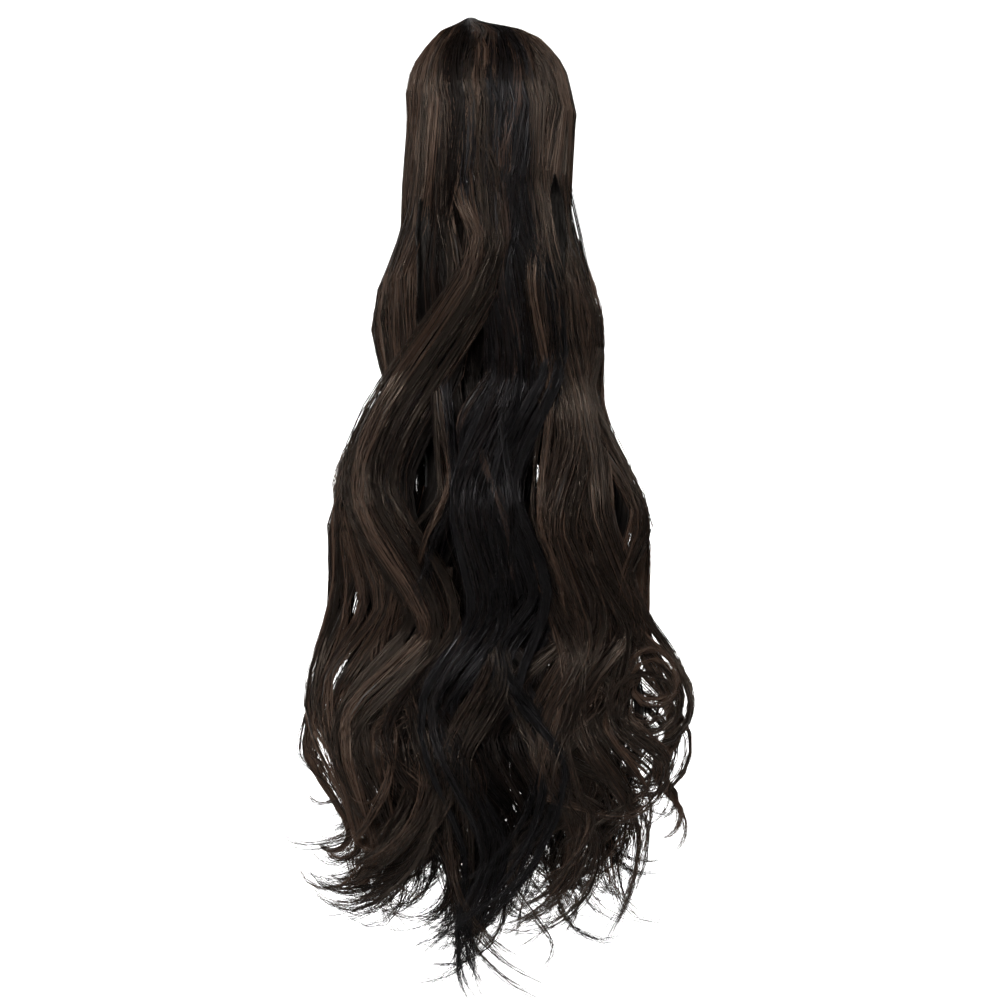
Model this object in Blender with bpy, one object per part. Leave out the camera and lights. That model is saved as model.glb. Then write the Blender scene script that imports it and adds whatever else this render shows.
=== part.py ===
"""Ponytail hairpiece: long wavy hair sewn to a jaw clip, as it hangs when worn.

Metres, +Z up. The origin is the middle of the clip's grip. The outer side of the
hair faces -Y and the clip's mouth opens towards +Y, where the wearer's bun goes in.
Sizes in the tables are millimetres: drop is the distance below the top of the crown,
across is the distance from the middle plane, with the left side negative.
"""

import math
from collections import namedtuple

import bmesh
import bpy
from mathutils import Matrix, Vector

MM = 0.001

# Crown and clip
CROWN_HEIGHT = 61.0  # from the middle of the grip up to the top of the crown
CROWN_DROP = 101.0  # where the crown ends and the lengths hang on
CLIP_HALF_LENGTH = 36.0
JAW_RADIUS = 28.0  # outside of the jaws, round the bun
JAW_WALL = 2.5
JAW_FROM, JAW_TO = 8.0, 115.0  # degrees round from the front
TOOTH_TO = 152.0
TEETH = 6
TOOTH_WIDTH = 5.0
TOOTH_TIP_SHARE = 0.45  # tip width over root width
HINGE_RADIUS = 5.0
HINGE_LENGTH = 52.0
BAND_WALL = 1.5
BAND_FROM, BAND_TO = 16.0, 112.0
BAND_HALF_HEIGHT = 33.0
GAP = 0.3  # left between two pieces that rest on each other

# Hair
CROWN_SIDES = 48
CROWN_FLUTES = 12
FLUTE_DEPTH = 0.025  # share of the crown's reach
LOCK_SIDES = 8
ROUTE_STEP = 3.0
RING_LENGTH = 40.0  # longest stretch between two rings of a lock
RING_BEND = 36.0  # most degrees that a lock bends between two rings
ROOT_FULLNESS, TIP_FULLNESS = 0.6, 0.15  # share of a lock's width
FULLEST_FROM, FULLEST_TO = 0.35, 0.7  # shares of a lock's length
CURL_TIGHTENING = 0.35
CURL_PITCH = 14.0  # how far a curl comes forward in a full turn

CrownSection = namedtuple("CrownSection", "drop left right front back")
CROWN = (
    CrownSection(drop=0.0, left=15, right=-9, front=5, back=2),
    CrownSection(drop=3.0, left=18, right=-5, front=11, back=6),
    CrownSection(drop=9.0, left=29, right=21, front=21, back=12),
    CrownSection(drop=15.0, left=34, right=31, front=29, back=16),
    CrownSection(drop=21.0, left=39, right=36, front=35, back=19),
    CrownSection(drop=27.0, left=43, right=41, front=39, back=21),
    CrownSection(drop=46.0, left=49, right=48, front=48, back=24),
    CrownSection(drop=64.0, left=49, right=52, front=50, back=25),
    CrownSection(drop=82.0, left=50, right=51, front=50, back=25),
    CrownSection(drop=101.0, left=52, right=48, front=49, back=24),
)

# Half of the ponytail's width at each level, which the hidden locks keep inside
Level = namedtuple("Level", "drop reach front middle back bow")
LEVELS = (
    Level(drop=100, reach=50, front=-39, middle=-8, back=19, bow=17),
    Level(drop=165, reach=63, front=-42, middle=-11, back=18, bow=14),
    Level(drop=228, reach=67, front=-32, middle=-4, back=25, bow=11),
    Level(drop=304, reach=89, front=-53, middle=-17, back=14, bow=15),
    Level(drop=388, reach=99, front=-31, middle=-4, back=26, bow=10),
    Level(drop=456, reach=105, front=-52, middle=-17, back=14, bow=15),
    Level(drop=520, reach=96, front=-34, middle=-5, back=25, bow=9),
    Level(drop=620, reach=70, front=-38, middle=-8, back=22, bow=6),
)

# A lock swings from one turning point to the next, each given as (across, drop), and
# ends in a curl that bends to the left (positive degrees) or to the right (negative).
# Its lift moves it back within its layer.
Lock = namedtuple("Lock", "name width thick lift turns curl_radius curl_sweep")
FRONT_LOCKS = (
    Lock("left_edge", 14, 10, -1,
         ((-44, 98), (-63, 189), (-56, 234), (-90, 313), (-87, 342), (-108, 421), (-84, 485)),
         16, -150),
    Lock("left_face", 26, 14, 0,
         ((-37, 98), (-54, 168), (-50, 226), (-81, 296), (-67, 363), (-96, 427), (-74, 511)), 21, 150),
    Lock("left_feeder", 28, 14, 1,
         ((-23, 98), (-32, 143), (-24, 197), (-57, 296), (-26, 387), (-56, 448), (-38, 509)), 38, 110),
    Lock("left_swoop", 38, 15, -4,
         ((-6, 98), (3, 131), (-72, 288), (-35, 376), (-84, 441), (-63, 517)), 27, 130),
    Lock("centre_lock", 30, 15, -1,
         ((6, 98), (4, 149), (13, 218), (-13, 302), (1, 364), (-34, 425), (-2, 517), (-18, 563)),
         43, -55),
    Lock("centre_right", 30, 15, 1,
         ((18, 98), (38, 204), (8, 292), (29, 357), (10, 401), (38, 454)), 116, 68),
    Lock("right_face", 29, 14, 0,
         ((30, 98), (40, 186), (54, 259), (40, 314), (60, 375), (36, 439), (53, 506)), 70, 78),
    Lock("right_inner", 27, 14, 1,
         ((38, 98), (43, 174), (61, 296), (82, 379), (57, 427), (92, 496)), 104, 42),
    Lock("right_edge", 14, 10, 0,
         ((43, 98), (45, 122), (63, 203), (58, 236), (92, 313), (81, 356), (118, 422)), 22, 400),
)
LEFT_OUTER = Lock("left_outer", 14, 14, 0,
                  ((-45, 98), (-68, 195), (-59, 236), (-93, 323), (-91, 357), (-112, 451),
                   (-88, 502)), 13, 150)
RIGHT_OUTER = Lock("right_outer", 14, 14, 0,
                   ((43, 98), (65, 201), (63, 230), (93, 332), (92, 375), (114, 436), (104, 461),
                    (117, 483)), 18, 70)

# Locks that others hide: how far across they hang as a share of the reach, and how
# they swing
Filler = namedtuple("Filler", "name width thick share swing phase length")
LEFT_FILLERS = (
    Filler("left_body", 46, 26, -0.77, 6, 0.0, 535),
    Filler("left_core", 44, 28, -0.43, 8, 0.5, 575),
)
RIGHT_FILLERS = (
    Filler("right_body", 46, 26, 0.77, 6, 0.6, 530),
    Filler("right_core", 44, 28, 0.43, 8, 0.5, 560),
)
BACK_FILLERS = (
    Filler("back_1", 28, 14, -0.90, 7, 0.2, 505),
    Filler("back_2", 34, 16, -0.60, 9, 0.6, 545),
    Filler("back_3", 34, 16, -0.30, 9, 0.0, 560),
    Filler("back_4", 34, 16, 0.00, 9, 0.5, 580),
    Filler("back_5", 34, 16, 0.30, 9, 0.1, 555),
    Filler("back_6", 34, 16, 0.60, 9, 0.7, 540),
    Filler("back_7", 28, 14, 0.90, 7, 0.3, 500),
)
FILLER_WAVE = 130.0  # about the length of one whole swing
FILLER_CURL_RADIUS, FILLER_CURL_SWEEP = 34.0, 100.0


def clear_scene():
    """Removes what the startup scene holds."""
    for thing in list(bpy.data.objects):
        bpy.data.objects.remove(thing)


def material(name, colour, roughness):
    """A plain Principled material."""
    made = bpy.data.materials.new(name)
    made.use_nodes = True
    shader = made.node_tree.nodes["Principled BSDF"]
    shader.inputs["Base Color"].default_value = (*colour, 1.0)
    shader.inputs["Roughness"].default_value = roughness
    shader.inputs["Metallic"].default_value = 0.0
    return made


def new_object(name, bm, finish=None, collection=None):
    """Turns a bmesh in millimetres into an object."""
    bmesh.ops.transform(bm, matrix=Matrix.Scale(MM, 4), verts=bm.verts)
    bmesh.ops.recalc_face_normals(bm, faces=bm.faces)
    mesh = bpy.data.meshes.new(name)
    bm.to_mesh(mesh)
    bm.free()
    mesh.shade_smooth()
    mesh.set_sharp_from_angle(angle=math.radians(50))
    if finish:
        mesh.materials.append(finish)
    made = bpy.data.objects.new(name, mesh)
    (collection or bpy.context.scene.collection).objects.link(made)
    return made


def helper_collection(name):
    """A collection for shapes that are joined to a piece or cut from it."""
    made = bpy.data.collections.new(name)
    bpy.context.scene.collection.children.link(made)
    return made


def combine(piece, helpers, operation):
    """Joins or cuts the helpers' shapes with one Boolean modifier."""
    for helper in helpers.objects:
        helper.hide_render = True
        helper.display_type = "WIRE"
    modifier = piece.modifiers.new(operation.title(), "BOOLEAN")
    modifier.operation = operation
    modifier.operand_type = "COLLECTION"
    modifier.collection = helpers
    modifier.solver = "EXACT"
    return piece


def extrude_ring(bm, edges):
    """Extrudes an open ring in place, and gives the new ring's vertices and edges."""
    made = bmesh.ops.extrude_edge_only(bm, edges=edges)["geom"]
    verts = [v for v in made if isinstance(v, bmesh.types.BMVert)]
    new_edges = [e for e in made if isinstance(e, bmesh.types.BMEdge)]
    return verts, [e for e in new_edges if all(v in verts for v in e.verts)]


def height(drop):
    """Height above the middle of the grip, from the drop below the crown's top."""
    return CROWN_HEIGHT - drop


def eased(share):
    """A smooth step from 0 to 1, level at both ends."""
    return share * share * (3 - 2 * share)


def between(rows, drop):
    """The row of a table at any drop, with every column eased between two rows."""
    if drop <= rows[0].drop:
        return rows[0]
    for upper, lower in zip(rows, rows[1:]):
        if drop <= lower.drop:
            share = eased((drop - upper.drop) / (lower.drop - upper.drop))
            return type(upper)(*(a + (b - a) * share for a, b in zip(upper, lower)))
    return rows[-1]


# The clip and its weft bands
def block(x_span, y_span, z_span):
    """A box between the given spans."""
    bm = bmesh.new()
    bmesh.ops.create_cube(bm, size=1.0)
    size = Vector((x_span[1] - x_span[0], y_span[1] - y_span[0], z_span[1] - z_span[0]))
    middle = Vector((sum(x_span), sum(y_span), sum(z_span))) / 2
    bmesh.ops.transform(
        bm, matrix=Matrix.Translation(middle) @ Matrix.Diagonal((*size, 1.0)), verts=bm.verts
    )
    return bm


def cylinder(radius, z_span, centre_y=0.0, sides=32):
    """An upright cylinder."""
    bm = bmesh.new()
    bmesh.ops.create_cone(
        bm, cap_ends=True, segments=sides, radius1=radius, radius2=radius, depth=z_span[1] - z_span[0]
    )
    bmesh.ops.translate(bm, vec=(0, centre_y, sum(z_span) / 2), verts=bm.verts)
    return bm


def curved_plate(side, radius, wall, z_span, start, end, steps):
    """A wall bent round the bun on one side, from start to end degrees from the front."""
    bm = bmesh.new()
    corners = [
        bm.verts.new((0, -r, z)) for r, z in (
            (radius - wall, z_span[0]), (radius, z_span[0]), (radius, z_span[1]), (radius - wall, z_span[1])
        )
    ]
    face = bm.faces.new(corners)
    turn = Matrix.Rotation(math.radians(side * start), 3, "Z")
    bmesh.ops.rotate(bm, matrix=turn, verts=bm.verts)
    bmesh.ops.spin(
        bm, geom=[face], axis=(0, 0, 1), angle=math.radians(side * (end - start)), steps=steps,
        use_duplicate=False,
    )
    bmesh.ops.holes_fill(bm, edges=[e for e in bm.edges if e.is_boundary])
    return bm


def tooth(side, middle_z):
    """One tooth, which carries on the jaw's curve and narrows to its tip."""
    start = JAW_TO - 3.0
    span = (middle_z - TOOTH_WIDTH / 2, middle_z + TOOTH_WIDTH / 2)
    bm = curved_plate(side, JAW_RADIUS - 0.2, JAW_WALL - 0.4, span, start, TOOTH_TO, steps=5)
    for vert in bm.verts:
        round_from_front = math.degrees(math.atan2(abs(vert.co.x), -vert.co.y))
        share = (round_from_front - start) / (TOOTH_TO - start)
        vert.co.z = middle_z + (vert.co.z - middle_z) * (1 - (1 - TOOTH_TIP_SHARE) * share)
    return bm


def make_clip(plastic):
    """The jaw clip under the hair: one plain piece of a hinge barrel, two jaws and teeth."""
    parts = helper_collection("clip_parts")
    jaw_span = (-CLIP_HALF_LENGTH, CLIP_HALF_LENGTH)
    pitch = 2 * CLIP_HALF_LENGTH / TEETH
    for side, offset in ((-1, -0.17), (1, 0.17)):
        jaw = curved_plate(side, JAW_RADIUS, JAW_WALL, jaw_span, JAW_FROM, JAW_TO, steps=12)
        new_object(f"jaw_{side}", jaw, collection=parts)
        for index in range(TEETH):
            middle_z = -CLIP_HALF_LENGTH + pitch * (index + 0.5 + offset)
            new_object(f"tooth_{side}_{index}", tooth(side, middle_z), collection=parts)
    barrel = cylinder(
        HINGE_RADIUS, (-HINGE_LENGTH / 2, HINGE_LENGTH / 2), centre_y=HINGE_RADIUS - JAW_RADIUS, sides=16
    )
    return combine(new_object("claw_clip", barrel, plastic), parts, "UNION")


def make_band(name, side, cloth):
    """The cloth band round one jaw that the hair is sewn to."""
    span = (-BAND_HALF_HEIGHT, BAND_HALF_HEIGHT)
    radius = JAW_RADIUS + GAP + BAND_WALL
    return new_object(name, curved_plate(side, radius, BAND_WALL, span, BAND_FROM, BAND_TO, steps=10), cloth)


# The crown
def crown_point(section, angle):
    """A point of one level of the crown's fluted outer surface."""
    flute = 1 + FLUTE_DEPTH * math.cos(angle * CROWN_FLUTES)
    middle, half_width = (section.right - section.left) / 2, (section.right + section.left) / 2
    depth = section.back if angle > 0 else section.front
    return Vector((
        middle + half_width * flute * math.cos(angle),
        depth * flute * math.sin(angle),
        height(section.drop),
    ))


def make_crown(hair):
    """The dome of hair laid over the clip, hollow round it and open behind."""
    bm = bmesh.new()
    bmesh.ops.create_circle(bm, segments=CROWN_SIDES, radius=1.0)
    edges = list(bm.edges)
    for _ in CROWN[1:]:
        verts, edges = extrude_ring(bm, edges)
        bmesh.ops.translate(bm, vec=(0, 0, -1), verts=verts)
    for vert in bm.verts:
        section = CROWN[round(-vert.co.z)]
        vert.co = crown_point(section, math.atan2(vert.co.y, vert.co.x))
    bmesh.ops.holes_fill(bm, edges=[e for e in bm.edges if e.is_boundary])
    crown = new_object("crown_hair", bm, hair)
    hollow = helper_collection("crown_hollow")
    radius = JAW_RADIUS + BAND_WALL + 2 * GAP
    span = (height(CROWN_DROP) - 10, CLIP_HALF_LENGTH + GAP)
    new_object("clip_space", cylinder(radius, span), collection=hollow)
    new_object("mouth_space", block((-radius, radius), (0, 60), span), collection=hollow)
    return combine(crown, hollow, "DIFFERENCE")


# The lengths
def swing(turns, drop):
    """How far across a lock hangs at a drop, eased from one turning point to the next."""
    for (across, high), (next_across, low) in zip(turns, turns[1:]):
        if drop <= low:
            return across + (next_across - across) * eased(max(0.0, (drop - high) / (low - high)))
    return turns[-1][0]


def layer_depth(layer, across, drop):
    """Where a layer of locks lies from front to back. Its two sides bend to the middle."""
    level = between(LEVELS, drop)
    centre = getattr(level, layer)
    towards_middle = math.copysign(level.bow, level.middle - centre) if layer != "middle" else 0.0
    return centre + towards_middle * min(1.0, abs(across) / level.reach) ** 2


def route(lock, layer):
    """Points along a lock's middle, from under the crown to its tip."""
    first, last = CROWN_DROP + GAP, lock.turns[-1][1]
    count = round((last - first) / ROUTE_STEP)
    points = []
    for index in range(count + 1):
        drop = first + (last - first) * index / count
        across = swing(lock.turns, drop)
        points.append(Vector((across, layer_depth(layer, across, drop) + lock.lift, height(drop))))
    return points + curl(points[-1], lock, layer)


def curl(start, lock, layer):
    """The points of a lock's end, which winds up sideways and comes out of its layer."""
    side = -1 if lock.curl_sweep > 0 else 1
    outwards = 1 if layer == "back" else -1
    sweep = math.radians(abs(lock.curl_sweep))
    steps = max(6, round(lock.curl_radius * sweep / ROUTE_STEP))
    points, place = [], start.copy()
    for index in range(steps):
        share = (index + 0.5) / steps
        stride = lock.curl_radius * (1 - CURL_TIGHTENING * share) * sweep / steps
        heading = sweep * share
        place = place + Vector((
            side * stride * math.sin(heading),
            outwards * CURL_PITCH * sweep / math.tau / steps,
            -stride * math.cos(heading),
        ))
        points.append(place)
    return points


def thinned(points):
    """Leaves out points where a lock is nearly straight, and keeps both ends."""
    kept, length, bend = [0], 0.0, 0.0
    for index in range(1, len(points) - 1):
        before, after = points[index] - points[index - 1], points[index + 1] - points[index]
        length += before.length
        bend += math.degrees(before.angle(after))
        if length / RING_LENGTH + bend / RING_BEND >= 1:
            kept.append(index)
            length, bend = 0.0, 0.0
    return kept + [len(points) - 1]


def fullness(share):
    """A lock's width along its length, as a share of its fullest."""
    if share < FULLEST_FROM:
        return ROOT_FULLNESS + (1 - ROOT_FULLNESS) * eased(share / FULLEST_FROM)
    return 1 - (1 - TIP_FULLNESS) * eased(max(0.0, (share - FULLEST_TO) / (1 - FULLEST_TO)))


def lock_mesh(lock, layer):
    """A tapering tube along a lock's route: a ring, extruded from place to place."""
    points = route(lock, layer)
    last = len(points) - 1
    frames = []
    side = Vector((1, 0, 0))
    for index in thinned(points):
        along = (points[min(index + 1, last)] - points[max(index - 1, 0)]).normalized()
        if index == 0:
            along = Vector((0, 0, -1))
        side = (side - along * side.dot(along)).normalized()
        out = along.cross(side)
        size = fullness(index / last)
        basis = Matrix((side * lock.width / 2 * size, out * lock.thick / 2 * size, along)).transposed()
        frames.append(Matrix.Translation(points[index]) @ basis.to_4x4())
    bm = bmesh.new()
    ring = bmesh.ops.create_circle(bm, segments=LOCK_SIDES, radius=1.0)["verts"]
    edges = list(bm.edges)
    bmesh.ops.transform(bm, matrix=frames[0], verts=ring)
    for frame, following in zip(frames, frames[1:]):
        verts, edges = extrude_ring(bm, edges)
        bmesh.ops.transform(bm, matrix=following @ frame.inverted(), verts=verts)
    bmesh.ops.holes_fill(bm, edges=[e for e in bm.edges if e.is_boundary])
    return bm


def filler_lock(filler):
    """A hidden lock, whose turning points follow from the ponytail's width and a wave."""
    first, last = CROWN_DROP - 3, filler.length - FILLER_CURL_RADIUS
    count = round((last - first) / (FILLER_WAVE / 2))
    turns = []
    for number in range(count + 1):
        drop = first + (last - first) * number / count
        sway = filler.swing * math.cos(math.pi * number + math.tau * filler.phase) * min(1, number / 2)
        turns.append((filler.share * between(LEVELS, drop).reach * 0.86 + sway, drop))
    sweep = math.copysign(FILLER_CURL_SWEEP, -filler.share or 1)
    return Lock(filler.name, filler.width, filler.thick, 0, tuple(turns), FILLER_CURL_RADIUS, sweep)


def make_lengths(name, locks, layer, hair):
    """One layer of hair: its locks fused where their roots lie side by side."""
    rest = helper_collection(f"{name}_locks")
    base = new_object(name, lock_mesh(locks[0], layer), hair)
    for lock in locks[1:]:
        new_object(lock.name, lock_mesh(lock, layer), collection=rest)
    return combine(base, rest, "UNION")


def main():
    clear_scene()
    plastic = material("black_plastic", (0.012, 0.012, 0.013), 0.35)
    cloth = material("black_net", (0.015, 0.013, 0.013), 0.9)
    hair = material("dark_brown_hair", (0.022, 0.014, 0.011), 0.42)
    make_clip(plastic)
    make_band("weft_band_left", -1, cloth)
    make_band("weft_band_right", 1, cloth)
    make_crown(hair)
    make_lengths("front_hair", FRONT_LOCKS, "front", hair)
    left = [LEFT_OUTER, *map(filler_lock, LEFT_FILLERS)]
    right = [RIGHT_OUTER, *map(filler_lock, RIGHT_FILLERS)]
    make_lengths("left_hair", left, "middle", hair)
    make_lengths("right_hair", right, "middle", hair)
    make_lengths("back_hair", list(map(filler_lock, BACK_FILLERS)), "back", hair)


main()
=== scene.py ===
"""Looks of the ponytail hairpiece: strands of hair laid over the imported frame.

The hair follows the same locks as the frame's solids. Each lock is split into wisps,
and each wisp is filled with fine closed strands, which start on the crown, run down
the lock and wind up in its curl. Tables are in millimetres: drop is the distance
below the crown's top, and across is the distance from the middle plane.
"""

import logging  # noqa: E402
import math  # noqa: E402
from dataclasses import dataclass, field, replace  # noqa: E402
from enum import Enum  # noqa: E402

import bmesh  # noqa: E402
import bpy  # noqa: E402
import numpy as np  # noqa: E402
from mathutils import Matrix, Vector  # noqa: E402


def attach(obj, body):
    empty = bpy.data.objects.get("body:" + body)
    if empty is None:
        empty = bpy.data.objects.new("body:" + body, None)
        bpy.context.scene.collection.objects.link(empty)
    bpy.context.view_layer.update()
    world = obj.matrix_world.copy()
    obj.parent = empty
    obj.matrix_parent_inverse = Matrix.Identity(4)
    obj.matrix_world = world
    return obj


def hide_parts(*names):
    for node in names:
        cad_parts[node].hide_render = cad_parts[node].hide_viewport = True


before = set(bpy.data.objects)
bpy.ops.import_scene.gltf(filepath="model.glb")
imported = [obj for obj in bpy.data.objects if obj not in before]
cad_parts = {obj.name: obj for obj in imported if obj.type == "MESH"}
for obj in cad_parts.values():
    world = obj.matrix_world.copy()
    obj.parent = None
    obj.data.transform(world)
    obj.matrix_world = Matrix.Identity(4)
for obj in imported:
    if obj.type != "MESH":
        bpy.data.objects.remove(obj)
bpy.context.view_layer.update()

LOG = logging.getLogger("ponytail")
MM = 0.001
Array = np.ndarray
Colour = tuple[float, float, float]
Place = tuple[float, float, float]
Bundle = tuple[Array, Array, Array]
WHITE = (1.0, 1.0, 1.0)


class Layer(Enum):
    """The layers that the lengths hang in, from the outer side to the wearer's neck."""

    FRONT = "front"
    MIDDLE = "middle"
    BACK = "back"


# Shader maths
class Signal:
    """A shader socket that can be used in Python expressions."""

    def __init__(self, graph: "Graph", socket: bpy.types.NodeSocket) -> None:
        """Wraps a socket.

        Args:
            graph: The material's nodes.
            socket: An output socket that carries a number.
        """
        self.graph = graph
        self.socket = socket

    def _maths(self, operation: str, *values: "Signal | float") -> "Signal":
        """Adds a Math node and returns its result."""
        inputs = dict(enumerate(values))
        return self.graph.node("ShaderNodeMath", {"operation": operation}, inputs)

    def __add__(self, other: "Signal | float") -> "Signal":
        """Adds two values."""
        return self._maths("ADD", self, other)

    def __sub__(self, other: "Signal | float") -> "Signal":
        """Takes a value away."""
        return self._maths("SUBTRACT", self, other)

    def __rsub__(self, other: float) -> "Signal":
        """Takes this value from a number."""
        return self._maths("SUBTRACT", other, self)

    def __mul__(self, other: "Signal | float") -> "Signal":
        """Multiplies two values."""
        return self._maths("MULTIPLY", self, other)

    def __truediv__(self, other: "Signal | float") -> "Signal":
        """Divides by a value."""
        return self._maths("DIVIDE", self, other)

    def __pow__(self, other: float) -> "Signal":
        """Raises to a power."""
        return self._maths("POWER", self, other)

    __radd__ = __add__
    __rmul__ = __mul__

    def clamped(self) -> "Signal":
        """Keeps the value from 0 to 1."""
        return self._maths("MINIMUM", self._maths("MAXIMUM", self, 0.0), 1.0)

    def wave(self) -> "Signal":
        """The value's sine, brought to 0 to 1."""
        return self._maths("SINE", self) * 0.5 + 0.5


class Graph:
    """The nodes of one material with a Principled shader."""

    def __init__(self, name: str) -> None:
        """Makes an empty material.

        Args:
            name: Its name.
        """
        self.material = bpy.data.materials.new(name)
        self.material.use_nodes = True
        self.nodes = self.material.node_tree.nodes
        self.shader = self.nodes["Principled BSDF"]

    def node(self, kind: str, settings: dict | None = None, inputs: dict | None = None,
             output: str | int = 0) -> Signal:
        """Adds a node.

        Args:
            kind: The node's type.
            settings: Its own settings, set before its sockets.
            inputs: Socket names or numbers, with values or signals.
            output: The output that is wanted.

        Returns:
            The output as a signal.
        """
        made = self.nodes.new(kind)
        for key, value in (settings or {}).items():
            setattr(made, key, value)
        self.feed(made, inputs or {})
        return Signal(self, made.outputs[output])

    def feed(self, node: bpy.types.Node, inputs: dict) -> None:
        """Sets or links the sockets of a node.

        Args:
            node: The node.
            inputs: Socket names or numbers, with values or signals.
        """
        for key, value in inputs.items():
            if isinstance(value, Signal):
                self.material.node_tree.links.new(value.socket, node.inputs[key])
            else:
                node.inputs[key].default_value = value

    def mix(self, share: "Signal | float", first: "Signal | Colour",
            second: "Signal | Colour") -> Signal:
        """Mixes two colours.

        Args:
            share: How much of the second colour shows.
            first: A colour or a signal that carries one.
            second: The same for the other colour.

        Returns:
            The mixed colour.
        """
        inputs = {0: share, 6: rgba(first), 7: rgba(second)}
        return self.node("ShaderNodeMix", {"data_type": "RGBA"}, inputs, output=2)

    def ramp(self, share: Signal, stops: tuple[tuple[float, Colour], ...]) -> Signal:
        """Looks a value up in a row of colours.

        Args:
            share: The value, from 0 to 1.
            stops: Places and colours.

        Returns:
            The colour.
        """
        made = self.nodes.new("ShaderNodeValToRGB")
        elements = made.color_ramp.elements
        while len(elements) < len(stops):
            elements.new(1.0)
        for element, (place, colour) in zip(elements, stops):
            element.position = place
            element.color = rgba(colour)
        self.feed(made, {0: share})
        return Signal(self, made.outputs[0])


def rgba(colour: "Signal | Colour") -> "Signal | tuple[float, ...]":
    """Gives a plain colour its alpha, and leaves a signal as it is."""
    return colour if isinstance(colour, Signal) else (*colour, 1.0)


@dataclass(frozen=True)
class HairFinish:
    """Very dark brown fibre, which reads a strand's tone and the place along it from its own map.

    The tone is partly the strand's own brown and partly painted light from its lock, so the warm top of
    the ramp shows mostly on lit hair.
    How much darker the tips are than the roots is set for each copy: slightly lighter tips on most,
    and darker tips as painted shade on the centre copy. Strands below the dullest tone have no gloss.
    """

    name: str
    tint: Colour
    specular: float
    deep: Colour = (0.0006, 0.0005, 0.0005)
    brown: Colour = (0.0075, 0.0046, 0.0036)
    lit_warm: Colour = (0.0520, 0.0315, 0.0225)
    roughness: float = 0.31
    gloss: float = 0.12
    tip_tone_and_shade: float = -0.10
    grain_scale: tuple[float, float] = (90.0, 14.0)
    hair_scale: tuple[float, float] = (620.0, 9.0)
    dullest: float = 0.14
    uv_name: str = "OFBake"

    def material(self) -> bpy.types.Material:
        """Builds the material.

        Returns:
            The material.
        """
        graph = Graph(self.name)
        place = graph.node("ShaderNodeUVMap", {"uv_map": self.uv_name})
        tone, along = (graph.node("ShaderNodeSeparateXYZ", None, {0: place}, output=i) for i in (0, 1))
        across, down = self.grain_scale
        spot = graph.node("ShaderNodeCombineXYZ", None, {0: tone * across, 1: along * down})
        grain = graph.node(
            "ShaderNodeTexNoise", {"noise_dimensions": "2D"},
            {"Vector": spot, "Scale": 1.0, "Detail": 3.0},
        )
        across, down = self.hair_scale
        fine = graph.node("ShaderNodeCombineXYZ", None, {0: tone * across, 1: along * down})
        hairs = graph.node(
            "ShaderNodeTexNoise", {"noise_dimensions": "2D"},
            {"Vector": fine, "Scale": 1.0, "Detail": 2.0},
        )
        bump = graph.node("ShaderNodeBump", None, {"Height": hairs, "Strength": 0.9, "Distance": 0.0010})
        # Tips are a little lighter on most copies; on the centre copy they are darker, as painted shade.
        shade = (tone * 1.08 - 0.08 - along * self.tip_tone_and_shade + (grain - 0.5) * 0.30).clamped()
        stops = ((0.0, self.deep), (0.5, self.brown), (1.0, self.lit_warm))
        dull = ((self.dullest - tone) * 8.0).clamped()
        bright = ((tone - self.dullest) * 9.0).clamped()
        graph.feed(graph.shader, {
            "Base Color": graph.ramp(shade, stops),
            "Roughness": self.roughness + (grain - 0.5) * 0.6 + dull * 0.12,
            "Coat Weight": ((grain - 0.46) * 5.0).clamped() * self.gloss * bright,
            "Coat Roughness": 0.26,
            "Specular IOR Level": self.specular,
            "Specular Tint": rgba(self.tint),
            "Normal": bump,
        })
        return graph.material


@dataclass(frozen=True)
class CrownFinish:
    """The crown's underlayer, darker than the strands as painted shade under them, combed in fine lines
    from top to bottom.
    """

    name: str = "shaded_crown_underlayer"
    deep: Colour = (0.0006, 0.0005, 0.0005)
    brown: Colour = (0.0034, 0.0024, 0.0020)
    lines: float = 420.0

    def material(self) -> bpy.types.Material:
        """Builds the material.

        Returns:
            The material.
        """
        graph = Graph(self.name)
        place = graph.node("ShaderNodeTexCoord", None, None, output="Object")
        x, y = (graph.node("ShaderNodeSeparateXYZ", None, {0: place}, output=i) for i in (0, 1))
        angle = graph.node("ShaderNodeMath", {"operation": "ARCTAN2"}, {0: y, 1: x})
        z = graph.node("ShaderNodeSeparateXYZ", None, {0: place}, output=2)
        spot = graph.node("ShaderNodeCombineXYZ", None, {0: angle * self.lines / 6.0, 1: z * 22.0})
        strands = graph.node(
            "ShaderNodeTexNoise", {"noise_dimensions": "2D"},
            {"Vector": spot, "Scale": 1.0, "Detail": 4.0},
        )
        bump = graph.node("ShaderNodeBump", None, {"Height": strands, "Strength": 0.6, "Distance": 0.0006})
        graph.feed(graph.shader, {
            # Darker than the strands' brown, as painted shade under them.
            "Base Color": graph.mix((strands * 1.6 - 0.3).clamped(), self.deep, self.brown),
            "Roughness": 0.5,
            "Specular IOR Level": 0.05,
            "Normal": bump,
        })
        return graph.material


@dataclass(frozen=True)
class PlasticFinish:
    """Black moulded plastic with a faint grain and handling marks."""

    name: str = "black_plastic"
    colour: Colour = (0.0120, 0.0118, 0.0125)
    worn: Colour = (0.020, 0.0195, 0.0205)

    def material(self) -> bpy.types.Material:
        """Builds the material.

        Returns:
            The material.
        """
        graph = Graph(self.name)
        place = graph.node("ShaderNodeTexCoord", None, None, output="Object")
        grain = graph.node("ShaderNodeTexNoise", None, {"Vector": place, "Scale": 900.0, "Detail": 2.0})
        marks = graph.node("ShaderNodeTexNoise", None, {"Vector": place, "Scale": 70.0, "Detail": 4.0})
        bump = graph.node("ShaderNodeBump", None, {"Height": grain, "Strength": 0.15, "Distance": 0.0002})
        graph.feed(graph.shader, {
            "Base Color": graph.mix(marks * 0.5, self.colour, self.worn),
            "Roughness": 0.28 + marks * 0.22,
            "Normal": bump,
        })
        return graph.material


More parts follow.
